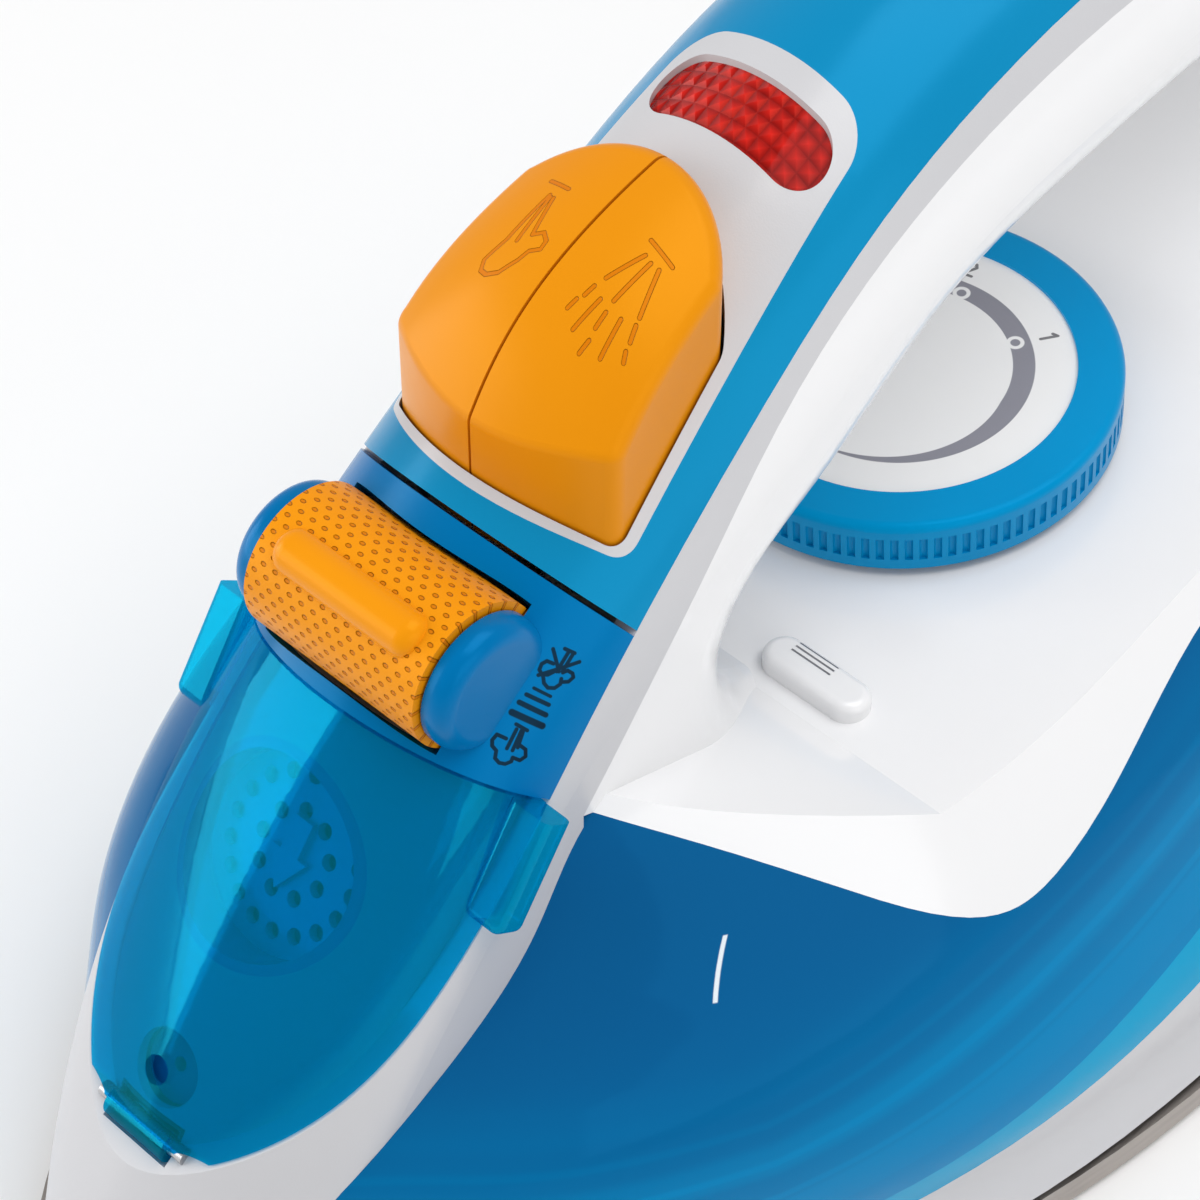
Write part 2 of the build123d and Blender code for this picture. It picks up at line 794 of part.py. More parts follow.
# Light grey strip along the grip, the nose round the lid and the floor of the lid recess
bar_shell = bar_outer - bar_inner
hinge_plane = crown_plane(hinge_x, hinge_depth)
hinge_z = hinge_plane.origin.Z
roller_half = roller_length / 2 + moving_gap
recess_floor = (bar_inner - bar(shell_wall + recess_wall, inner_start)) & over_recess
recess_floor = recess_floor - behind(panel_cut, recess_lap)
with BuildPart() as handle_liner:
    add(bar_shell)
    add(above(prow_foot) + above(grip_seam), mode=Mode.INTERSECT)
    add(over_band, mode=Mode.INTERSECT)
    add(over_liner, mode=Mode.SUBTRACT)
    add(ahead_of_heel, mode=Mode.INTERSECT)
    add(recess_floor)
    with Locations(crown_plane(funnel_x, shell_wall + funnel_depth)):
        Cylinder(funnel_radius, far, align=(Align.CENTER, Align.CENTER, Align.MIN), mode=Mode.SUBTRACT)
    with Locations(crown_plane(nozzle_x, nozzle_depth + nozzle_length)):
        Cylinder(nozzle_radius, far, align=(Align.CENTER, Align.CENTER, Align.MIN), mode=Mode.SUBTRACT)
    add(crossbar(hinge_plane.origin.X, hinge_z, hinge_radius + hinge_clearance, hinge_half + hinge_clearance),
        mode=Mode.SUBTRACT)
    add(crossbar(hinge_plane.origin.X, hinge_z, hinge_pin_radius, hinge_pin_half), mode=Mode.SUBTRACT)
    add(
        crossbar(roller_x, roller_z, roller_radius + roller_gap, roller_half + cheek_thickness),
        mode=Mode.SUBTRACT,
    )
handle_liner.part.label = "handle_liner"
export_step(handle_liner.part, "parts/handle_liner.step")

# Blue front panel with the cheeks that carry the roller
with BuildPart() as roller_cheeks:
    add(crossbar(roller_x, roller_z, cheek_radius, roller_half + cheek_thickness))
    fillet(roller_cheeks.edges().filter_by(GeomType.CIRCLE), cheek_edge_radius)

with BuildPart() as front_panel:
    add(bar_shell)
    add(over_liner, mode=Mode.INTERSECT)
    add(behind(panel_cut, 0), mode=Mode.INTERSECT)
    add(behind(console_cut, -panel_gap / 2), mode=Mode.SUBTRACT)
    add(roller_cheeks.part)
    add(crossbar(roller_x, roller_z, roller_radius + roller_gap, roller_half), mode=Mode.SUBTRACT)
    add(crossbar(roller_x, roller_z, axle_radius, axle_half), mode=Mode.SUBTRACT)
front_panel.part.label = "front_panel"
export_step(front_panel.part, "parts/front_panel.step")

# Roller with one rib, and its axle
rib_angle = radians(roller_rib_angle)
rib_x = roller_x + rib_centre * cos(rib_angle)
rib_z = roller_z + rib_centre * sin(rib_angle)
with BuildPart() as roller_rib:
    add(crossbar(rib_x, rib_z, rib_radius, rib_half))
    fillet(roller_rib.edges().filter_by(GeomType.CIRCLE), rib_end_radius)

with BuildPart() as steam_roller:
    add(crossbar(roller_x, roller_z, roller_radius, roller_length / 2))
    add(roller_rib.part)
    add(crossbar(roller_x, roller_z, axle_radius + running_gap, far), mode=Mode.SUBTRACT)
steam_roller.part.label = "steam_roller"
export_step(steam_roller.part, "parts/steam_roller.step")

with BuildPart() as roller_axle:
    add(crossbar(roller_x, roller_z, axle_radius, axle_half))
roller_axle.part.label = "roller_axle"
export_step(roller_axle.part, "parts/roller_axle.step")

# Steam valve: seat in the tank floor and the rod that the roller lifts
seat_bottom = skirt_nose_z - moving_gap
rod_bottom = seat_bottom + valve_lift + moving_gap
rod_top = roller_z - roller_radius - valve_lift - roller_gap
with BuildPart() as valve_seat:
    with Locations((roller_x, 0, seat_bottom)):
        Cylinder(valve_seat_radius, valve_seat_height, align=(Align.CENTER, Align.CENTER, Align.MIN))
    with Locations((roller_x, 0, seat_bottom)):
        Cylinder(valve_radius + running_gap, far, mode=Mode.SUBTRACT)
valve_seat.part.label = "valve_seat"
export_step(valve_seat.part, "parts/valve_seat.step")

with BuildPart() as valve_rod:
    with Locations((roller_x, 0, rod_bottom)):
        Cylinder(valve_radius, rod_top - rod_bottom, align=(Align.CENTER, Align.CENTER, Align.MIN))
valve_rod.part.label = "valve_rod"
export_step(valve_rod.part, "parts/valve_rod.step")

# Funnel under the lid with its strainer, and the spray nozzle
with BuildPart() as filler_funnel:
    with Locations(crown_plane(funnel_x, shell_wall + funnel_depth)):
        Cylinder(funnel_radius, far, align=(Align.CENTER, Align.CENTER, Align.MIN))
        Cylinder(funnel_outlet, far, mode=Mode.SUBTRACT)
    with Locations(crown_plane(funnel_x, shell_wall + funnel_depth - funnel_wall)):
        Cylinder(
            funnel_radius - funnel_wall,
            far,
            align=(Align.CENTER, Align.CENTER, Align.MIN),
            mode=Mode.SUBTRACT,
        )
    add(bar_inner, mode=Mode.INTERSECT)
filler_funnel.part.label = "filler_funnel"
export_step(filler_funnel.part, "parts/filler_funnel.step")

strainer_plane = crown_plane(funnel_x, shell_wall + strainer_depth)
with BuildPart() as inlet_strainer:
    with BuildSketch(strainer_plane):
        Circle(funnel_radius - funnel_wall)
        with PolarLocations(strainer_ring, 18):
            Circle(strainer_hole, mode=Mode.SUBTRACT)
        with PolarLocations(strainer_hub + 2 * strainer_hole, 9):
            Circle(strainer_hole, mode=Mode.SUBTRACT)
    extrude(amount=-strainer_thickness)
    with BuildSketch(strainer_plane):
        Polygon((0, arrow_length / 2), (-arrow_width / 2, 0), (arrow_width / 2, 0))
        with Locations((0, -arrow_length / 4)):
            Rectangle(arrow_width / 2, arrow_length / 2)
    extrude(amount=arrow_height)
inlet_strainer.part.label = "inlet_strainer"
export_step(inlet_strainer.part, "parts/inlet_strainer.step")

with BuildPart() as spray_nozzle:
    with Locations(crown_plane(nozzle_x, nozzle_depth)):
        Cylinder(nozzle_radius, nozzle_length, align=(Align.CENTER, Align.CENTER, Align.MAX))
        Cylinder(nozzle_orifice, nozzle_length, mode=Mode.SUBTRACT)
spray_nozzle.part.label = "spray_nozzle"
export_step(spray_nozzle.part, "parts/spray_nozzle.step")

# See-through lid, hinged at its tip, with a grip along each rear edge
with BuildPart() as lid_tabs:
    for side in (1, -1):
        with Locations(Location((tab_x, side * (grip_half + tab_height / 2), tab_z), (0, -tab_slope, 0))):
            Box(tab_length, tab_height + lid_wall, tab_width)
    fillet(lid_tabs.edges(), tab_edge_radius)

with BuildPart() as filler_lid:
    add(bar_outer)
    add(bar(lid_wall, inner_start), mode=Mode.SUBTRACT)
    add(over_lid, mode=Mode.INTERSECT)
    add(behind(panel_cut, -lid_gap), mode=Mode.SUBTRACT)
    with Locations(hinge_plane):
        Box(2 * far, far, 2 * far, align=(Align.CENTER, Align.MIN, Align.CENTER), mode=Mode.SUBTRACT)
    add(lid_tabs.part)
    add(over_lid, mode=Mode.INTERSECT)
    add(lid_tabs.part - bar(-lid_gap))
    add(behind(panel_cut, -lid_gap), mode=Mode.SUBTRACT)
    add(crossbar(hinge_plane.origin.X, hinge_z, hinge_radius, hinge_half))
    add(crossbar(hinge_plane.origin.X, hinge_z, hinge_pin_radius + running_gap, far), mode=Mode.SUBTRACT)
    with Locations(crown_plane(nozzle_x)):
        Cylinder(nozzle_window, 2 * nozzle_length, mode=Mode.SUBTRACT)
filler_lid.part.label = "filler_lid"
export_step(filler_lid.part, "parts/filler_lid.step")

with BuildPart() as lid_hinge_pin:
    add(crossbar(hinge_plane.origin.X, hinge_z, hinge_pin_radius, hinge_pin_half))
lid_hinge_pin.part.label = "lid_hinge_pin"
export_step(lid_hinge_pin.part, "parts/lid_hinge_pin.step")


def button_prism(gap):
    """Upright block with the outline of the button pair, grown by a gap."""
    with BuildPart() as prism:
        with BuildSketch() as outline:
            with BuildLine():
                front = ThreePointArc(
                    (button_corner_x, -button_front_half),
                    (button_front_x, 0),
                    (button_corner_x, button_front_half),
                )
                rear = ThreePointArc(
                    (button_side_x, button_rear_half), (button_rear_x, 0), (button_side_x, -button_rear_half)
                )
                Line(front @ 1, rear @ 0)
                Line(rear @ 1, front @ 0)
            make_face()
            fillet(outline.vertices(), button_corner_radius)
            if gap > 0:
                offset(amount=gap)
        extrude(amount=far)
    return prism.part


# Console: light grey frame, red lens and its lamp
with BuildPart() as trim_prism:
    with BuildSketch() as trim_outline:
        with BuildLine():
            trim_front = ThreePointArc(
                (button_corner_x, -button_front_half - trim_border),
                (button_front_x - trim_border, 0),
                (button_corner_x, button_front_half + trim_border),
            )
            Polyline(
                trim_front @ 1, (trim_rear_x, trim_rear_half), (trim_rear_x, -trim_rear_half), trim_front @ 0
            )
        make_face()
        fillet(trim_outline.vertices().sort_by(Axis.X)[-2:], trim_corner_radius)
        fillet(trim_outline.vertices().sort_by(Axis.X)[:2], button_corner_radius + trim_border)
    extrude(amount=far)

with BuildPart() as lens_prism:
    with BuildSketch():
        with Locations((lens_centre_x, 0)):
            SlotOverall(lens_length, lens_width, rotation=90)
    extrude(amount=far)

with BuildPart() as console_trim:
    add(bar_shell)
    add(trim_prism.part, mode=Mode.INTERSECT)
    add(button_prism(moving_gap), mode=Mode.SUBTRACT)
    add(lens_prism.part, mode=Mode.SUBTRACT)
console_trim.part.label = "console_trim"
export_step(console_trim.part, "parts/console_trim.step")

under_lens = bar(lens_recess + lens_depth, inner_start)
with BuildPart() as lamp_lens:
    add(bar(lens_recess, inner_start))
    add(under_lens, mode=Mode.SUBTRACT)
    add(lens_prism.part, mode=Mode.INTERSECT)
lamp_lens.part.label = "lamp_lens"
export_step(lamp_lens.part, "parts/lamp_lens.step")

with BuildPart() as indicator_lamp:
    with Locations((lens_centre_x, 0, console_z - lens_depth)):
        Cylinder(lamp_radius, lamp_length)
    add(under_lens, mode=Mode.INTERSECT)
indicator_lamp.part.label = "indicator_lamp"
export_step(indicator_lamp.part, "parts/indicator_lamp.step")

# Pump cylinder under the steam button, its plunger and return spring; the spray side mirrors them
pump_top = ledge_z + pump_height
collar_z = pump_top + spring_length
piston_z = pump_top - pump_wall - moving_gap
with BuildPart() as steam_pump:
    with Locations((pump_x, pump_y, ledge_z)):
        Cylinder(pump_radius, pump_height, align=(Align.CENTER, Align.CENTER, Align.MIN))
    with Locations((pump_x, pump_y, ledge_z + pump_wall)):
        Cylinder(
            pump_bore,
            pump_height - 2 * pump_wall,
            align=(Align.CENTER, Align.CENTER, Align.MIN),
            mode=Mode.SUBTRACT,
        )
    with Locations((pump_x, pump_y, pump_top)):
        Cylinder(stem_radius + running_gap, 3 * pump_wall, mode=Mode.SUBTRACT)
steam_pump.part.label = "steam_pump"
export_step(steam_pump.part, "parts/steam_pump.step")

with BuildPart() as steam_plunger:
    with Locations((pump_x, pump_y, piston_z)):
        Cylinder(pump_bore - running_gap, piston_height, align=(Align.CENTER, Align.CENTER, Align.MAX))
        Cylinder(stem_radius, stem_top_z - piston_z, align=(Align.CENTER, Align.CENTER, Align.MIN))
    with Locations((pump_x, pump_y, collar_z)):
        Cylinder(collar_radius, collar_height, align=(Align.CENTER, Align.CENTER, Align.MIN))
steam_plunger.part.label = "steam_plunger"
export_step(steam_plunger.part, "parts/steam_plunger.step")

coil_height = spring_length - 2 * spring_wire
with BuildPart() as steam_spring:
    with BuildLine() as coil:
        Helix(
            coil_height / spring_turns,
            coil_height,
            spring_radius,
            center=(pump_x, pump_y, pump_top + spring_wire),
        )
    coil_wire = coil.wire()
    with BuildSketch(Plane(coil_wire @ 0, z_dir=coil_wire % 0)):
        Circle(spring_wire)
    sweep(path=coil_wire, is_frenet=True)
steam_spring.part.label = "steam_spring"
export_step(steam_spring.part, "parts/steam_spring.step")

with BuildPart() as spray_pump:
    mirror(steam_pump.part, about=Plane.XZ)
spray_pump.part.label = "spray_pump"
export_step(spray_pump.part, "parts/spray_pump.step")

with BuildPart() as spray_plunger:
    mirror(steam_plunger.part, about=Plane.XZ)
spray_plunger.part.label = "spray_plunger"
export_step(spray_plunger.part, "parts/spray_plunger.step")

with BuildPart() as spray_spring:
    mirror(steam_spring.part, about=Plane.XZ)
spray_spring.part.label = "spray_spring"
export_step(spray_spring.part, "parts/spray_spring.step")

# Hose from the spray pump to the nozzle
nozzle_back = crown_plane(nozzle_x, nozzle_depth + nozzle_length)
hose_start = Vector(pump_x - pump_radius, -pump_y, hose_z)
hose_turn = nozzle_back.origin - nozzle_back.z_dir * hose_lead
with BuildPart() as spray_hose:
    with BuildLine() as hose_path:
        FilletPolyline(
            hose_start,
            hose_start - (hose_lead, 0, 0),
            (roller_x - hose_lead / 2, -pump_y, nozzle_back.origin.Z),
            hose_turn,
            nozzle_back.origin,
            radius=2 * hose_radius,
        )
    hose_wire = hose_path.wire()
    with BuildSketch(Plane(hose_wire @ 0, z_dir=hose_wire % 0)):
        Circle(hose_radius)
    sweep(path=hose_wire)
    add(spray_pump.part, mode=Mode.SUBTRACT)
spray_hose.part.label = "spray_hose"
export_step(spray_hose.part, "parts/spray_hose.step")

# Two thumb buttons side by side under one rounded crown
button_drop = button_crown_radius - (button_crown_radius**2 - button_flank**2) ** 0.5
with BuildPart() as button_crown:
    for x, top in button_ridge:
        with BuildSketch(Plane.YZ.offset(x)):
            with BuildLine():
                arc = ThreePointArc(
                    (-button_flank, top - button_drop),
                    (0, top),
                    (button_flank, top - button_drop),
                )
                Polyline(arc @ 1, (button_flank, button_foot_z), (-button_flank, button_foot_z), arc @ 0)
            make_face()
    loft()

with BuildPart() as button_pair:
    add(button_prism(0))
    add(button_crown.part, mode=Mode.INTERSECT)
    add(Pos(0, 0, -button_skirt) * bar_outer, mode=Mode.SUBTRACT)
    fillet(button_pair.faces().sort_by(Axis.Z)[-1].edges(), button_edge_radius)

with BuildPart() as steam_button:
    add(button_pair.part)
    with Locations((0, button_split / 2, 0)):
        Box(2 * far, far, 2 * far, align=(Align.CENTER, Align.MAX, Align.CENTER), mode=Mode.SUBTRACT)
    add(steam_plunger.part, mode=Mode.SUBTRACT)
steam_button.part.label = "steam_button"
export_step(steam_button.part, "parts/steam_button.step")

with BuildPart() as spray_button:
    mirror(steam_button.part, about=Plane.XZ)
spray_button.part.label = "spray_button"
export_step(spray_button.part, "parts/spray_button.step")

# Bush where the lead would enter, on the sloping tail
with BuildPart() as cord_gland:
    with Locations(crown_plane(gland_x, -gland_stand)):
        Cylinder(gland_radius, gland_length, align=(Align.CENTER, Align.CENTER, Align.MAX))
    with Locations(crown_plane(gland_x, gland_collar_depth)):
        Cylinder(gland_flange, gland_collar, align=(Align.CENTER, Align.CENTER, Align.MIN))
    with Locations(crown_plane(gland_x)):
        Cylinder(gland_bore, 2 * gland_length, mode=Mode.SUBTRACT)
cord_gland.part.label = "cord_gland"
export_step(cord_gland.part, "parts/cord_gland.step")

# Glossy blue top of the grip
with BuildPart() as handle_shell:
    add(bar_shell)
    add(over_liner, mode=Mode.INTERSECT)
    add(behind(console_cut, panel_gap / 2), mode=Mode.INTERSECT)
    add(ahead_of_heel, mode=Mode.INTERSECT)
    add(trim_prism.part, mode=Mode.SUBTRACT)
    with Locations(crown_plane(gland_x)):
        Cylinder(gland_radius, 2 * gland_length, mode=Mode.SUBTRACT)
handle_shell.part.label = "handle_shell"
export_step(handle_shell.part, "parts/handle_shell.step")

# Temperature dial: knurled cup, printed disc and shaft
with BuildPart() as dial_shaft:
    with BuildSketch(dial_plane.offset(-dial_face_thickness)):
        Circle(shaft_radius)
    extrude(amount=-far)
    add(slab(cover_top + shaft_end_gap, far), mode=Mode.INTERSECT)
dial_shaft.part.label = "dial_shaft"
export_step(dial_shaft.part, "parts/dial_shaft.step")

with BuildPart() as temperature_dial:
    with BuildSketch(dial_plane.offset(dial_rim)):
        Circle(dial_radius)
    extrude(amount=-dial_height)
    fillet(temperature_dial.edges().sort_by(Axis(dial_plane.origin, dial_plane.z_dir))[-1], dial_edge_radius)
    with BuildSketch(dial_plane.offset(dial_rim - dial_knurl_drop)):
        with PolarLocations(dial_radius, dial_grooves):
            Circle(dial_groove_radius)
    extrude(amount=-dial_knurl_height, mode=Mode.SUBTRACT)
    with BuildSketch(dial_plane.offset(dial_rim)):
        Circle(dial_face_radius)
    extrude(amount=-dial_rim - dial_face_thickness, mode=Mode.SUBTRACT)
    with BuildSketch(dial_plane.offset(-dial_face_thickness - dial_web)):
        Circle(dial_radius - dial_wall)
        Circle(dial_hub_radius, mode=Mode.SUBTRACT)
    extrude(amount=-dial_height, mode=Mode.SUBTRACT)
    add(dial_shaft.part, mode=Mode.SUBTRACT)
temperature_dial.part.label = "temperature_dial"
export_step(temperature_dial.part, "parts/temperature_dial.step")

with BuildPart() as dial_face:
    with BuildSketch(dial_plane):
        Circle(dial_face_radius)
    extrude(amount=-dial_face_thickness)
dial_face.part.label = "dial_face"
export_step(dial_face.part, "parts/dial_face.step")

# Raised nub that marks the setting
with BuildPart() as dial_pointer:
    with BuildSketch(Plane.XY.offset(platform_z(pointer_x) - pointer_height)):
        with Locations((pointer_x, pointer_y)):
            SlotOverall(pointer_length, pointer_width, rotation=90)
    extrude(amount=2 * pointer_height)
    fillet(dial_pointer.faces().sort_by(Axis.Z)[-1].edges(), pointer_height / 2)
    add(under_platform, mode=Mode.SUBTRACT)
dial_pointer.part.label = "dial_pointer"
export_step(dial_pointer.part, "parts/dial_pointer.step")

# Heel: screws, terminal block, cover and rubber feet
heel_face_x = heel_x - foot_height
with BuildPart() as heel_screws:
    with BuildSketch(Plane.YZ.offset(heel_face_x)):
        with Locations(*heel_screw_places):
            Circle(heel_screw_head)
    extrude(amount=heel_screw_rise)
    with BuildSketch(Plane.YZ.offset(heel_face_x)):
        with Locations(*heel_screw_places):
            Circle(heel_screw_radius)
    extrude(amount=-heel_screw_length)
    with BuildSketch(Plane.YZ.offset(heel_face_x + heel_screw_rise)):
        with Locations(*heel_screw_places):
            Rectangle(heel_screw_head, heel_screw_rise)
            Rectangle(heel_screw_rise, heel_screw_head)
    extrude(amount=-heel_screw_rise, mode=Mode.SUBTRACT)
heel_screws.part.label = "heel_screws"
export_step(heel_screws.part, "parts/heel_screws.step")

terminal_x = cover_x - terminal_size[0] / 2
terminal_z = heel_screw_places[0][1]
with BuildPart() as terminal_block:
    with Locations((terminal_x, 0, terminal_z)):
        Box(*terminal_size)
    with Locations(*[(terminal_x, i * terminal_pitch, terminal_z) for i in (-1, 0, 1)]):
        Cylinder(terminal_hole, far, mode=Mode.SUBTRACT)
    add(heel_screws.part, mode=Mode.SUBTRACT)
terminal_block.part.label = "terminal_block"
export_step(terminal_block.part, "parts/terminal_block.step")

with BuildPart() as rear_cover:
    add(body_outer)
    add(under_platform, mode=Mode.INTERSECT)
    add(bar_outer)
    add(under_heel, mode=Mode.SUBTRACT)
    add(stretch(cover_x, heel_face_x), mode=Mode.INTERSECT)
    fillet(rear_cover.faces().sort_by(Axis.X)[-1].edges(), heel_rim_radius)
    add(heel_screws.part, mode=Mode.SUBTRACT)
rear_cover.part.label = "rear_cover"
export_step(rear_cover.part, "parts/rear_cover.step")

with BuildPart() as heel_feet:
    with BuildSketch(Plane.YZ.offset(heel_face_x)):
        with Locations(*foot_places):
            SlotOverall(foot_length, foot_width)
    extrude(amount=foot_height)
heel_feet.part.label = "heel_feet"
export_step(heel_feet.part, "parts/heel_feet.step")
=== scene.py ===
import bmesh
import bpy
from math import cos, pi, radians, sin
from mathutils import Matrix, Vector


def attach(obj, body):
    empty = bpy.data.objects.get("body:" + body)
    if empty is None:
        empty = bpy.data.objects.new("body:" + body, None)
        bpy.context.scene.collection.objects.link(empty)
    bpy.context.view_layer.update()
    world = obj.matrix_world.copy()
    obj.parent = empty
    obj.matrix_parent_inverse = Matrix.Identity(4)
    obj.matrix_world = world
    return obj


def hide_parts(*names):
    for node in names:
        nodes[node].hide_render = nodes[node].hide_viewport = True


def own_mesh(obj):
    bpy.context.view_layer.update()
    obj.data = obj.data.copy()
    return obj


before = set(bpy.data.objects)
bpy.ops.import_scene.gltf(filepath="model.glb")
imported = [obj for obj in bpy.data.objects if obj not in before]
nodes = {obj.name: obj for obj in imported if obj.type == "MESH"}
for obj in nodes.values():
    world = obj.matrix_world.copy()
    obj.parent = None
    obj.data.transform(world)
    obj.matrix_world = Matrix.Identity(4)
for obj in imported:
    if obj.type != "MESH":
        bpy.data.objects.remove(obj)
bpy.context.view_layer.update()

# Sole plate: pressed and ground metal with steam holes, screwed under the heater block.
# Its rim keeps fine lengthwise grinding marks and a brown tint from heat.


class Shade:
    """One socket of a material, with arithmetic on values."""

    def __init__(self, tree, socket):
        self.tree = tree
        self.socket = socket

    def node(self, kind, settings=None, sockets=None, out=0):
        """Any node: its settings first, then the values or links of its sockets."""
        made = self.tree.nodes.new(kind)
        for name, value in (settings or {}).items():
            setattr(made, name, value)
        for name, value in (sockets or {}).items():
            if isinstance(value, Shade):
                self.tree.links.new(value.socket, made.inputs[name])
            else:
                made.inputs[name].default_value = value
        return Shade(self.tree, made.outputs[out])

    def math(self, operation, *others):
        sockets = dict(enumerate((self,) + others))
        return self.node("ShaderNodeMath", {"operation": operation}, sockets)

    def vector(self, operation, *others, out=0):
        sockets = dict(enumerate((self,) + others))
        return self.node("ShaderNodeVectorMath", {"operation": operation}, sockets, out)

    def __add__(self, other):
        return self.math("ADD", other)

    __radd__ = __add__

    def __sub__(self, other):
        return self.math("SUBTRACT", other)

    def __rsub__(self, other):
        return self.node("ShaderNodeMath", {"operation": "SUBTRACT"}, {0: other, 1: self})

    def __mul__(self, other):
        return self.math("MULTIPLY", other)

    __rmul__ = __mul__

    def __truediv__(self, other):
        return self.math("DIVIDE", other)

    def __abs__(self):
        return self.math("ABSOLUTE")

    def __or__(self, other):
        return self.math("MAXIMUM", other)

    def step(self, low, high):
        """0 below low, 1 above high, smooth between."""
        span = {"Value": self, "From Min": low, "From Max": high}
        return self.node("ShaderNodeMapRange", {"interpolation_type": "SMOOTHSTEP"}, span)

    def fall(self, low, high):
        """1 below low, 0 above high, smooth between."""
        return 1 - self.step(low, high)

    def wave(self, length):
        """Triangle wave: 0 at every multiple of length, 1 half way between."""
        return (self / length).math("PINGPONG", 0.5) * 2

    def tint(self, low, high):
        """Mixes two colours by this value."""
        return self.node("ShaderNodeMix", {"data_type": "RGBA"}, {0: self, 6: low, 7: high}, out=2)

    def noise(self, scale, detail=2.0):
        """Cloudy pattern from 0 to 1, in patches per metre, on a place."""
        sockets = {"Vector": self, "Scale": scale, "Detail": detail}
        return self.node("ShaderNodeTexNoise", {}, sockets)

    def parts(self):
        split = self.node("ShaderNodeSeparateXYZ", {}, {0: self}).socket.node
        return [Shade(self.tree, out) for out in split.outputs]


class Finish:
    """A material on one Principled shader; place is a point on the piece in millimetres."""

    def __init__(self, name, **sockets):
        self.material = bpy.data.materials.new(name)
        self.material.use_nodes = True
        self.tree = self.material.node_tree
        self.shader = self.tree.nodes["Principled BSDF"]
        for socket, value in sockets.items():
            self.shader.inputs[socket.replace("_", " ")].default_value = value
        start = self.tree.nodes.new("ShaderNodeTexCoord")
        self.metres = Shade(self.tree, start.outputs["Object"])
        self.place = self.metres.vector("MULTIPLY", (1000, 1000, 1000))

    def feed(self, **sockets):
        for socket, value in sockets.items():
            self.tree.links.new(value.socket, self.shader.inputs[socket.replace("_", " ")])

    def colour(self, scale, low, high):
        """Base colour that drifts between two tones, in patches per metre."""
        self.feed(Base_Color=self.metres.noise(scale).tint(low, high))

    def gloss(self, rough, spread, scale):
        """Roughness that rises by up to spread, in patches per metre."""
        self.feed(Roughness=rough + spread * self.metres.noise(scale))

    def bump(self, height, depth):
        """Relief from a height of 0 to 1; depth in metres."""
        sockets = {"Height": height, "Distance": depth}
        self.feed(Normal=height.node("ShaderNodeBump", {}, sockets))

    def on(self, *names):
        """Puts the finish on nodes of the frame."""
        for name in names:
            for slot in nodes[name].material_slots:
                slot.material = self.material


sole = Finish("ground_sole_metal", Metallic=1.0)
lengthwise = (0.03, 0.9, 0.9)
brushed = sole.place.vector("MULTIPLY", lengthwise).noise(1.0, 4.0)
sole.feed(Base_Color=brushed.tint((0.30, 0.27, 0.25, 1), (0.50, 0.46, 0.43, 1)))
sole.feed(Roughness=0.25 + 0.2 * brushed)
sole.bump(brushed, 0.00003)
sole.on("soleplate")

# Heat shield: black rim of heat resistant resin, moulded with a fine spark grain.
# It lies between the hot sole and the grey skirt. The lead bush is the same resin.
black = Finish("black_resin")
spark = black.metres.noise(1800.0)
black.feed(Base_Color=spark.tint((0.008, 0.008, 0.009, 1), (0.022, 0.022, 0.024, 1)))
black.feed(Roughness=0.45 + 0.2 * spark)
black.bump(spark, 0.00005)
black.on("heat_shield", "cord_gland")

# Heater: a cast block with the tube heater in it, its chamber cover and the thermostat.
# Cast faces keep a sand grain, the drawn and rolled pieces only a faint one.


def shaded(colour, share, lift=0.0):
    """A colour at a share of its strength, lifted towards white."""
    return tuple(share * channel + lift for channel in colour[:3]) + (1,)


def metal(name, colour, rough, scale):
    made = Finish(name + "_metal", Metallic=1.0)
    grain = made.metres.noise(scale, 3.0)
    made.feed(Base_Color=grain.tint(shaded(colour, 0.72), colour))
    made.feed(Roughness=rough - 0.1 + 0.2 * grain)
    made.bump(grain, 0.00004)
    made.on(name)
    return made.material


metal("heater_casting", (0.48, 0.48, 0.49, 1), 0.55, 900.0)
metal("heating_element", (0.32, 0.31, 0.31, 1), 0.40, 500.0)
metal("chamber_cover", (0.55, 0.55, 0.56, 1), 0.35, 300.0)
metal("thermostat", (0.58, 0.57, 0.55, 1), 0.35, 400.0)

# Screws and pins: turned and drawn steel, zinc plated. The screws hold the heel and the
# chamber cover, the pins carry the roller and the lid; the valve rod is turned brass.
zinc = {"colour": (0.55, 0.55, 0.56, 1), "rough": 0.28, "scale": 700.0}
for name in ("cover_screws", "heel_screws", "roller_axle", "lid_hinge_pin"):
    metal(name, **zinc)
metal("valve_rod", (0.60, 0.44, 0.18, 1), 0.30, 700.0)

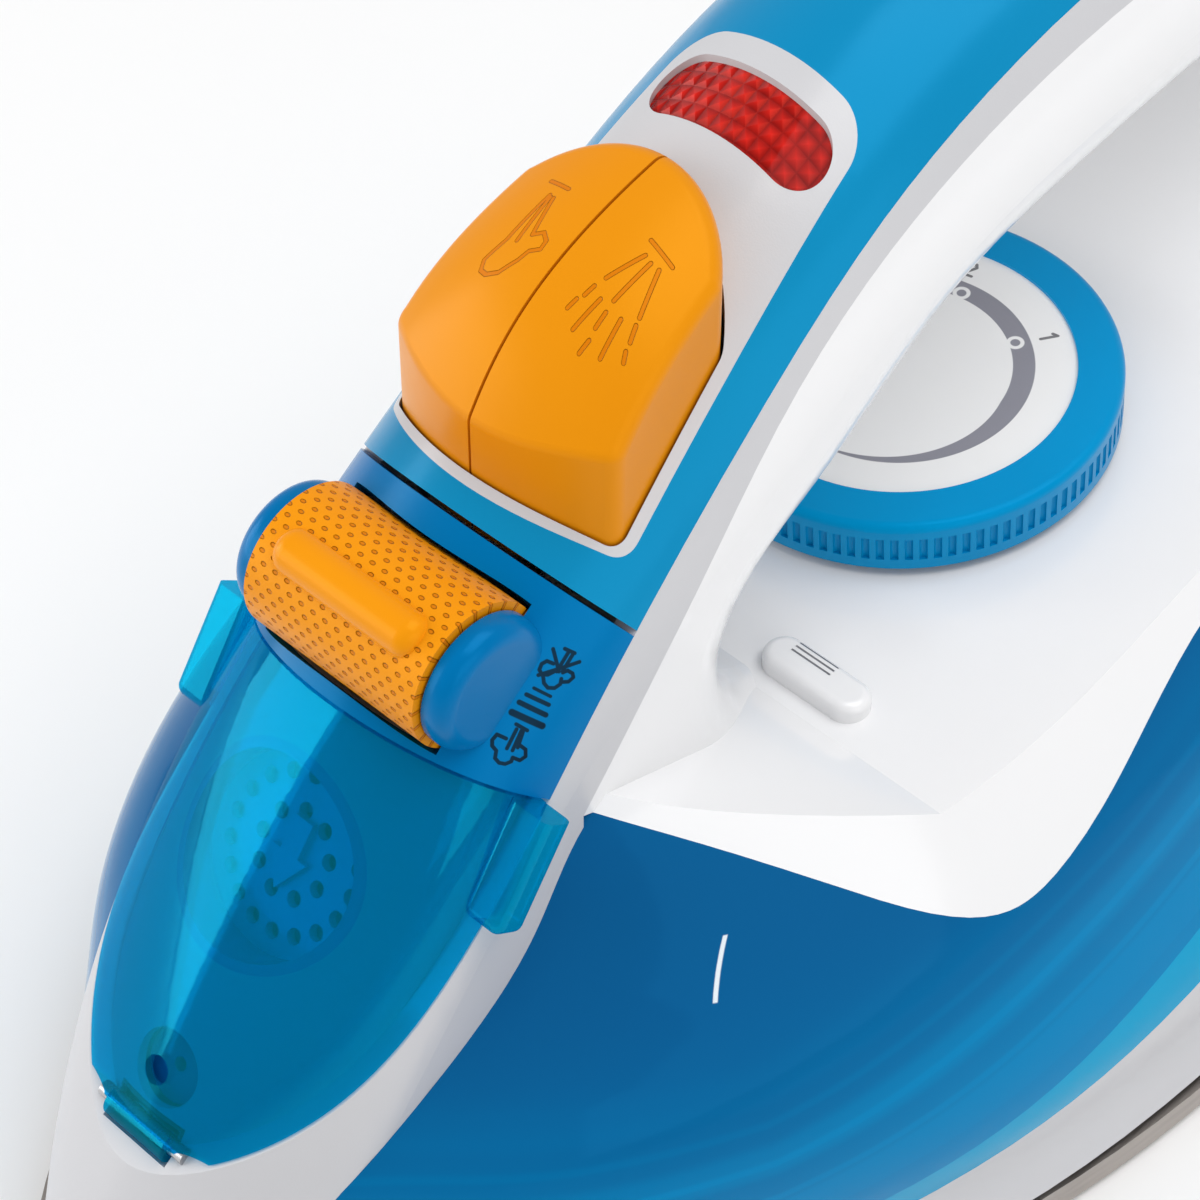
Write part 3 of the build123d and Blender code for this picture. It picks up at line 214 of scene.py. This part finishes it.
# Return springs: four turns of hard drawn steel wire round each plunger. They stand on the
# pumps and carry the keys.
wire_radius, coil_radius = 0.0003, 0.003
turns, steps, facets = 4, 128, 10
foot, length, travel = 0.0813, 0.0072, 0.004
plunger_x, plunger_y = -0.063, 0.0082
for name, joint, side in (
    ("steam_spring", "steam_press", plunger_y),
    ("spray_spring", "spray_press", -plunger_y),
):
    start = Matrix.Translation((coil_radius + plunger_x, side, foot + wire_radius))
    upright = Matrix.Rotation(pi / 2, 4, "X")
    wire = bmesh.new()
    bmesh.ops.create_circle(wire, segments=facets, radius=wire_radius, matrix=start @ upright)
    bmesh.ops.spin(
        wire,
        geom=wire.verts[:] + wire.edges[:],
        cent=(plunger_x, side, 0),
        axis=(0, 0, 1),
        dvec=(0, 0, (length - 2 * wire_radius) / steps),
        angle=2 * pi * turns,
        steps=steps,
    )
    bmesh.ops.holes_fill(wire, edges=[edge for edge in wire.edges if edge.is_boundary])
    bmesh.ops.recalc_face_normals(wire, faces=wire.faces)
    mesh = bpy.data.meshes.new(name + "_coil")
    wire.to_mesh(mesh)
    wire.free()
    mesh.shade_smooth()
    mesh.materials.append(metal(name, **zinc))
    coil = bpy.data.objects.new(name + "_coil", mesh)
    bpy.context.scene.collection.objects.link(coil)
    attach(coil, "iron")
    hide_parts(name)
    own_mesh(coil)

# Seals and hose: moulded rubber, matt, with a pale bloom. The heel feet are the same kind
# of rubber, pressed into the heel cover.


def rubber(name, colour):
    made = Finish(name + "_rubber")
    bloom = made.metres.noise(260.0, 5.0)
    made.feed(Base_Color=bloom.tint(colour, shaded(colour, 0.7, lift=0.03)))
    made.feed(Roughness=0.6 + 0.25 * bloom)
    made.bump(made.metres.noise(2500.0), 0.00004)
    made.on(name)


rubber("chamber_gasket", (0.32, 0.05, 0.03, 1))
rubber("valve_seat", (0.32, 0.05, 0.03, 1))
rubber("spray_hose", (0.015, 0.015, 0.017, 1))
rubber("heel_feet", (0.014, 0.014, 0.016, 1))

# Inner mouldings: pumps, plungers, shaft, fuse sleeve and terminal block in natural resin.
# They are hidden in the closed iron and show faint flow marks.


def resin(name, colour):
    made = Finish(name + "_resin")
    flow = made.metres.noise(120.0, 4.0)
    made.feed(Base_Color=flow.tint(shaded(colour, 0.85), colour))
    made.feed(Roughness=0.42 + 0.16 * flow)
    made.bump(made.metres.noise(3000.0), 0.00002)
    made.on(name)


pumps = ("steam_pump", "spray_pump", "steam_plunger", "spray_plunger")
for name in pumps + ("dial_shaft", "tank_cover"):
    resin(name, (0.66, 0.66, 0.64, 1))
resin("thermal_fuse", (0.60, 0.58, 0.52, 1))
resin("terminal_block", (0.64, 0.62, 0.56, 1))
resin("indicator_lamp", (0.70, 0.50, 0.40, 1))

# Skirt, nose liner, console frame and heel cover: light grey plastic with a satin skin.
# They are moulded in colour and clipped together along the seams.
grey = Finish("light_grey_satin", Coat_Weight=0.2, Coat_Roughness=0.15)
grey.colour(35.0, (0.52, 0.52, 0.54, 1), (0.57, 0.57, 0.59, 1))
grey.gloss(0.28, 0.1, 400.0)
grey.bump(grey.metres.noise(5000.0), 0.00001)
grey.on("skirt", "handle_liner", "console_trim", "rear_cover")

# Tank base: clear cyan floor of the water tank. Its edge shows as the bright strip that is
# welded between the skirt and the tank wall.
base = Finish("clear_cyan", IOR=1.25, Specular_Tint=(0.03, 0.6, 1.0, 1))
base.colour(25.0, (0.0, 0.27, 0.50, 1), (0.0, 0.35, 0.60, 1))
base.gloss(0.08, 0.08, 300.0)
base.on("tank_base")

# Water tank: see-through deep blue wall. Painted shade makes the blue deepest below the white shell and
# lighter downwards, and painted highlights cross it as wavy streaks; a short white line marks how far it
# may be filled.
tank = Finish("clear_deep_blue", IOR=1.25, Specular_Tint=(0.03, 0.5, 1.0, 1))
x, y, z = tank.place.parts()
nose_x, floor_z, floor_climb = -76.0, 13.0, 0.2
rise = z - floor_z - floor_climb * (x - nose_x).math("MAXIMUM", 0.0)
sway = rise + 5.0 * tank.metres.noise(12.0)
# Painted highlights: wavy light streaks and thin veins across the lower wall.
painted_highlight_streak = sway.wave(9.0).step(0.35, 0.75) * rise.fall(14.0, 34.0)
painted_highlight_vein = (sway + 1.56).wave(5.2).step(0.72, 0.95) * rise.fall(16.0, 32.0)
# depth is painted shade, darkest under the white shell, less the painted highlights.
depth = rise.step(2.0, 38.0) - 0.36 * painted_highlight_streak - 0.3 * painted_highlight_vein
wall = depth.tint((0.0, 0.205, 0.45, 1), (0.004, 0.095, 0.26, 1))
mark_x, mark_z, mark_lean = -72.9, 52.05, 0.784
slant = abs(x - mark_x - mark_lean * (z - mark_z))
mark = slant.fall(0.14, 0.28) * abs(z - mark_z).fall(2.5, 2.65) * y.fall(-1.0, 0.0)
tank.feed(Base_Color=mark.tint(wall, (0.75, 0.80, 0.84, 1)))
tank.gloss(0.06, 0.06, 300.0)
tank.on("water_tank")

# Saddle: one glossy white moulding with the dial platform, the post and the underside of the
# grip, screwed down on the tank from inside.
white = Finish("white_gloss", Coat_Weight=0.4, Coat_Roughness=0.06)
white.colour(20.0, (0.79, 0.79, 0.80, 1), (0.83, 0.83, 0.84, 1))
white.gloss(0.16, 0.08, 300.0)
white.bump(white.metres.noise(60.0), 0.00004)
white.on("upper_housing")

# Mark in front of the dial: small white moulding clipped into the platform, with three
# engraved lines across its end.
nub = Finish("white_nub", Coat_Weight=0.3, Coat_Roughness=0.08)
x, y, _ = nub.place.parts()
lines_x, lines_y, half_pitch = -40.4, -18.5, 0.35
along = abs(x - lines_x)
lines = along.math("PINGPONG", half_pitch).fall(0.08, 0.14)
lines = lines * along.fall(0.85, 0.95) * abs(y - lines_y).fall(2.6, 2.8)
# Painted shade darkens the engraved lines almost to black.
nub.feed(Base_Color=lines.tint((0.80, 0.80, 0.81, 1), (0.18, 0.18, 0.20, 1)))
nub.gloss(0.2, 0.1, 300.0)
nub.bump(1 - lines, 0.0003)
nub.on("dial_pointer")

# Temperature dial: blue ring with a finely knurled rim, moulded in one piece. It is clipped
# on the shaft of the thermostat and turns over the platform.
ring = Finish("dial_blue", Specular_IOR_Level=0.4, Specular_Tint=(0.03, 0.5, 1.0, 1))
ring.colour(60.0, (0.0, 0.23, 0.50, 1), (0.0, 0.27, 0.56, 1))
ring.gloss(0.26, 0.1, 500.0)
ring.on("temperature_dial")

# Dial face: white printed disc, pressed into the ring. A grey band grows with the heat; small
# rings stand on it and plain figures beside it.


def ink(point, lines, width):
    """Mask of pen strokes through points of a flat drawing in millimetres."""
    nearest = None
    for line in lines:
        for start, end in zip(line, line[1:]):
            run = Vector((end[0] - start[0], end[1] - start[1], 0))
            offset = point.vector("SUBTRACT", (*start, 0))
            share = offset.vector("DOT_PRODUCT", run / run.length_squared, out=1)
            share = share.node("ShaderNodeClamp", {}, {0: share})
            reach = share.vector("MULTIPLY_ADD", run, (*start, 0))
            gap = point.vector("DISTANCE", reach, out=1)
            nearest = gap if nearest is None else nearest.math("MINIMUM", gap)
    return nearest.fall(0.4 * width, 0.6 * width)


def compass(degrees):
    """Unit vector on the dial at an angle."""
    return Vector((cos(radians(degrees)), sin(radians(degrees))))


face = Finish("dial_print", Coat_Weight=0.2, Coat_Roughness=0.1)
tilt = radians(5.47)
dial_x, dial_z = -6.0, 70.0
x, y, z = face.place.parts()
ahead = (x - dial_x) * cos(tilt) + (z - dial_z) * sin(tilt)
flat = face.place.node("ShaderNodeCombineXYZ", {}, {0: ahead, 1: y})
radius = flat.vector("LENGTH", out=1)
angle = y.math("ARCTAN2", ahead) * (180 / pi)
cold, warm, hot = -172.0, -77.0, 118.0
span = {"Value": angle, "From Min": cold, "From Max": warm}
growth = angle.node("ShaderNodeMapRange", {}, span)
band = (abs(radius - 15.1 + 1.2 * growth) - 1.15 * growth - 0.1).fall(-0.05, 0.05)
band = band * angle.step(cold - 0.5, cold + 0.5) * angle.fall(hot, hot + 0.6)
spot_radius, figure_radius = 13.4, 17.3
spots = None
for degrees in (-34.7, 9.3, 17.9, 60.0, 68.0, 76.0):
    spot = (*(spot_radius * compass(degrees)), 0.0)
    gap = flat.vector("DISTANCE", spot, out=1)
    spots = gap if spots is None else spots.math("MINIMUM", gap)
halo = spots.fall(0.95, 1.1)
dot = spots.fall(0.5, 0.62)
one = [(-0.35, 0.55), (0.1, 1.0), (0.1, -1.0)]
two = [(-0.55, 0.6), (-0.2, 1.0), (0.3, 1.0), (0.55, 0.5), (-0.55, -1.0), (0.6, -1.0)]
three = [(-0.5, 0.9), (0.3, 1.0), (0.5, 0.5), (-0.1, 0.05), (0.55, -0.5), (0.2, -1.0), (-0.5, -0.9)]
figures = []
for degrees, strokes in ((-35.0, one), (13.0, two), (68.0, three)):
    out = compass(degrees)
    side = Vector((out[1], -out[0]))
    figures.append([tuple((figure_radius + b) * out + a * side) for a, b in strokes])
disc = face.metres.noise(40.0).tint((0.78, 0.78, 0.78, 1), (0.82, 0.82, 0.82, 1))
disc = ((band * (1 - halo)) | dot).tint(disc, (0.23, 0.23, 0.27, 1))
disc = ink(flat, figures, 0.4).tint(disc, (0.16, 0.16, 0.17, 1))
face.feed(Base_Color=disc)
face.gloss(0.25, 0.1, 400.0)
face.on("dial_face")

# Grip top: glossy blue shell, moulded in one piece and screwed down from inside. It runs from
# the front panel over the hand grip to the heel.
shell = Finish("grip_blue_gloss", Specular_IOR_Level=0.4, Specular_Tint=(0.05, 0.55, 1.0, 1))
shell.colour(30.0, (0.004, 0.21, 0.43, 1), (0.006, 0.25, 0.48, 1))
shell.gloss(0.18, 0.08, 300.0)
shell.bump(shell.metres.noise(60.0), 0.00003)
shell.on("handle_shell")

# Front panel: blue moulding with the roller window. Black signs printed beside the roller
# show the amount of steam: a jet, growing bars and a crossed-out jet.
panel = Finish("panel_blue_print", Specular_IOR_Level=0.4, Specular_Tint=(0.05, 0.5, 1.0, 1))
_, y, _ = panel.place.parts()
slope = panel.place.vector("DOT_PRODUCT", (0.757, 0.0, 0.653), out=1)
across = panel.place.vector("DOT_PRODUCT", (0.472, -0.691, -0.548), out=1)
flat = panel.place.node("ShaderNodeCombineXYZ", {}, {0: slope, 1: across})
cloud = [(-10.8, -72.7), (-10.9, -73.7), (-11.6, -73.8), (-12.1, -73.5), (-12.3, -72.9)]
cloud += [(-13.0, -72.6), (-13.2, -72.0), (-13.0, -71.4), (-12.5, -71.0), (-12.1, -71.1)]
cloud += [(-12.0, -70.3), (-11.4, -70.0), (-10.8, -70.4), (-10.7, -71.2)]
jet = [cloud, [(-9.1, -72.6), (-9.1, -71.3)], [(-9.5, -72.3), (-11.6, -72.1)]]
jet += [[(-9.4, -71.8), (-11.5, -71.5)], [(-9.4, -71.6), (-11.0, -71.2)]]
low_lobe = [(-2.8, -72.1), (-3.4, -72.5), (-3.7, -73.0), (-3.4, -73.5)]
low_lobe += [(-2.8, -73.6), (-2.3, -73.3), (-2.2, -72.6)]
end_lobe = [(-3.8, -72.8), (-4.3, -72.4), (-4.5, -71.8), (-4.2, -71.2), (-3.6, -70.9), (-3.1, -71.1)]
top_lobe = [(-3.3, -70.8), (-3.0, -70.3), (-2.4, -70.1), (-2.1, -70.4), (-2.1, -71.0), (-2.5, -71.3)]
lobes = [low_lobe, end_lobe, top_lobe]
spout = [[(-0.4, -72.4), (-0.3, -71.3)], [(-0.6, -71.9), (-2.7, -71.9)], [(-0.5, -71.4), (-2.4, -71.4)]]
strike = [[(-1.0, -73.4), (-2.6, -71.7)], [(-0.8, -70.4), (-3.9, -73.3)]]
signs = ink(flat, jet + lobes + spout + strike, 0.4)
for bar, width in (
    ([(-8.3, -73.6), (-8.0, -70.2)], 0.7),
    ([(-7.1, -73.5), (-6.9, -70.5)], 0.55),
    ([(-6.1, -73.3), (-5.9, -70.8)], 0.45),
    ([(-5.2, -73.0), (-5.1, -71.1)], 0.35),
):
    signs = signs | ink(flat, [bar], width)
near_side = y.fall(-10.0, -9.0)
blue = panel.metres.noise(30.0).tint((0.0, 0.13, 0.36, 1), (0.0, 0.17, 0.42, 1))
panel.feed(Base_Color=(signs * near_side).tint(blue, (0.006, 0.007, 0.012, 1)))
panel.gloss(0.2, 0.08, 300.0)
panel.on("front_panel")

# Lens over the lamp: clear red plastic, moulded with a field of small pyramids below a
# smooth face, and clipped into the console frame.
lens = Finish(
    "clear_red",
    Roughness=0.12,
    Specular_Tint=(1.0, 0.12, 0.08, 1),
    Coat_Weight=0.1,
    Coat_Roughness=0.03,
)
x, y, _ = lens.place.parts()
pitch = 1.7
point = x.wave(pitch).math("MINIMUM", y.wave(pitch))
# Painted glint: base colour is lighter at each pyramid's tip, with random tone over it.
glint_and_tone = 0.55 * point + 0.6 * lens.metres.noise(420.0) - 0.1
lens.feed(Base_Color=glint_and_tone.tint((0.13, 0.001, 0.002, 1), (0.80, 0.02, 0.012, 1)))
lens.bump(point, 0.0004)
lens.on("lamp_lens")

# Buttons: a pair of orange keys under one crown, moulded in colour. Each has a sunk sign,
# a steam jet on one and a spray fan on the other.


def key(name, lines):
    made = Finish(name + "_orange", Specular_IOR_Level=0.4, Specular_Tint=(1.0, 0.5, 0.06, 1))
    x, y, _ = made.place.parts()
    sunk = ink(made.place.node("ShaderNodeCombineXYZ", {}, {0: x, 1: y}), lines, 0.42)
    skin = made.metres.noise(40.0).tint((0.72, 0.24, 0.003, 1), (0.76, 0.28, 0.006, 1))
    # Painted shade darkens the sunk lines of the sign.
    made.feed(Base_Color=(0.7 * sunk).tint(skin, (0.60, 0.14, 0.002, 1)))
    made.gloss(0.28, 0.1, 400.0)
    made.bump(1 - sunk, 0.0003)
    made.on(name)


fan = [[(-53.4, -5.9), (-53.8, -9.1)], [(-54.8, -6.5), (-58.7, -5.1)], [(-59.9, -4.7), (-61.0, -4.5)]]
fan += [[(-61.7, -4.1), (-62.7, -3.9)], [(-55.0, -7.4), (-59.7, -7.1)], [(-60.4, -6.0), (-63.7, -5.6)]]
fan += [[(-60.9, -7.2), (-62.4, -7.3)], [(-63.5, -7.5), (-64.7, -7.4)], [(-60.4, -8.7), (-63.8, -9.3)]]
fan += [[(-54.9, -8.4), (-59.1, -9.9)], [(-59.8, -10.1), (-61.1, -10.6)]]
fan += [[(-61.9, -10.8), (-62.6, -11.2)]]
key("spray_button", fan)
puff = [[(-53.2, 7.7), (-53.5, 5.0)], [(-54.7, 6.4), (-60.2, 6.8)], [(-54.9, 6.1), (-60.0, 5.6)]]
puff += [[(-54.9, 5.7), (-59.0, 4.5)]]
puff += [[(-59.0, 4.5), (-58.4, 3.5), (-59.0, 2.6), (-59.9, 2.5), (-60.5, 3.5)]]
tail = [(-60.5, 3.5), (-61.6, 3.9), (-63.2, 5.0), (-63.7, 6.2), (-63.5, 7.1), (-62.5, 7.6), (-60.2, 6.8)]
puff += [tail]
key("steam_button", puff)

# Steam roller: orange thumb wheel, moulded with one rib to push and rows of fine dimples.
# It turns on its pin in the window of the front panel and lifts the steam valve.
roller = Finish("roller_orange", Specular_IOR_Level=0.4, Specular_Tint=(1.0, 0.5, 0.06, 1))
x, y, z = roller.place.parts()
axle_x, axle_z, barrel = -84.0, 86.6, 8.25
row_turn, row_pitch = 7.5, 1.7
turned = (z - axle_z).math("ARCTAN2", x - axle_x) * (180 / pi)
row = (turned / row_turn).math("FLOOR")
slip = (y / row_pitch + 0.5 * row).math("FRACT") - 0.5
lift = (turned / row_turn).math("FRACT") - 0.5
reach = ((x - axle_x) * (x - axle_x) + (z - axle_z) * (z - axle_z)).math("SQRT")
rib = reach.step(barrel, barrel + 0.15)
pit = (slip * slip + lift * lift).fall(0.015, 0.06) * (1 - rib)
skin = roller.metres.noise(50.0).tint((0.78, 0.26, 0.003, 1), (0.82, 0.30, 0.006, 1))
# Painted shade darkens each dimple.
roller.feed(Base_Color=(0.55 * pit).tint(skin, (0.50, 0.10, 0.002, 1)))
roller.feed(Roughness=0.38 + 0.12 * pit - 0.12 * rib)
roller.bump(1 - pit, 0.0003)
roller.on("steam_roller")

# Filler lid: clear light blue cap over the nose, moulded thin, hinged on a pin at its tip.
# The funnel, its strainer and the nozzle below it show through.


def clear(name, colour, through, share, sheen):
    """Clear plastic: share of it is body colour, and sheen is the mirror of its back face."""
    made = Finish(
        name + "_clear",
        Roughness=0.08,
        Specular_Tint=(0.1, 0.7, 1.0, 1),
        Coat_Weight=0.15,
        Coat_Roughness=0.03,
    )
    made.colour(40.0, shaded(colour, 0.8), colour)
    body = Shade(made.tree, made.shader.outputs[0])
    glass = body.node("ShaderNodeBsdfTransparent", {}, {"Color": through})
    mixed = body.node("ShaderNodeMixShader", {}, {0: share, 1: glass, 2: body})
    back = body.node("ShaderNodeBsdfAnisotropic", {}, {"Color": colour, "Roughness": 0.06})
    mixed = body.node("ShaderNodeMixShader", {}, {0: sheen, 1: mixed, 2: back})
    made.tree.links.new(mixed.socket, made.tree.nodes["Material Output"].inputs["Surface"])
    made.on(name)


clear("filler_lid", (0.0, 0.48, 0.60, 1), (0.02, 0.66, 0.90, 1), share=0.12, sheen=0.11)

# Funnel, strainer and nozzle: light blue mouldings, pressed into the recess below the lid.
# The strainer lies in the funnel; the nozzle sits in its pocket at the tip of the nose.
clear("filler_funnel", (0.10, 0.50, 0.75, 1), (0.3, 0.75, 0.92, 1), share=0.8, sheen=0.02)
clear("inlet_strainer", (0.35, 0.80, 0.95, 1), (0.3, 0.8, 0.95, 1), share=0.85, sheen=0.02)
clear("spray_nozzle", (0.01, 0.20, 0.44, 1), (0.3, 0.75, 0.92, 1), share=0.9, sheen=0.02)

# Studio: a pale paper floor in a white room, lit by three soft boxes. The camera stands at
# the photo's place.
mesh = bpy.data.meshes.new("studio_floor")
plane = bmesh.new()
bmesh.ops.create_grid(plane, x_segments=1, y_segments=1, size=4.0)
plane.to_mesh(mesh)
plane.free()
floor = bpy.data.objects.new("studio_floor", mesh)
bpy.context.scene.collection.objects.link(floor)
paper = Finish("studio_paper", Roughness=0.8)
paper.colour(4.0, (0.88, 0.88, 0.88, 1), (0.92, 0.92, 0.92, 1))
mesh.materials.append(paper.material)

room = bpy.data.worlds.new("studio_room")
room.use_nodes = True
background = room.node_tree.nodes["Background"]
background.inputs["Color"].default_value = (1, 1, 1, 1)
background.inputs["Strength"].default_value = 0.48
bpy.context.scene.world = room
bpy.context.scene.view_settings.view_transform = "Standard"


def softbox(name, place, target, width, height, power):
    light = bpy.data.lights.new(name, "AREA")
    light.shape = "RECTANGLE"
    light.size = width
    light.size_y = height
    light.energy = power
    lamp = bpy.data.objects.new(name, light)
    lamp.location = place
    lamp.rotation_euler = (Vector(target) - Vector(place)).to_track_quat("-Z", "Y").to_euler()
    bpy.context.scene.collection.objects.link(lamp)


softbox("left_box", (-0.77, 0.84, 0.35), (-0.08, 0.0, 0.06), width=0.9, height=0.7, power=7.0)
softbox("top_box", (0.15, -0.35, 1.3), (0.0, 0.0, 0.05), width=1.0, height=1.0, power=11.0)
softbox("right_box", (-0.25, -1.0, 0.45), (0.0, 0.0, 0.06), width=0.8, height=0.6, power=2.2)

camera_lens = bpy.data.cameras.new("camera")
camera_lens.lens = 105.0
camera_lens.sensor_width = 36.0
camera_lens.clip_start = 0.01
turn = radians(-45.68)
tip = radians(45.10)
right = Vector((cos(turn), sin(turn), 0))
ahead = Vector((-sin(turn) * cos(tip), cos(turn) * cos(tip), -sin(tip)))
camera = bpy.data.objects.new("camera", camera_lens)
camera.matrix_world = Matrix((right, right.cross(ahead), -ahead)).transposed().to_4x4()
camera.location = (-0.241996, -0.183279, 0.330354)
bpy.context.scene.collection.objects.link(camera)
bpy.context.scene.camera = camera
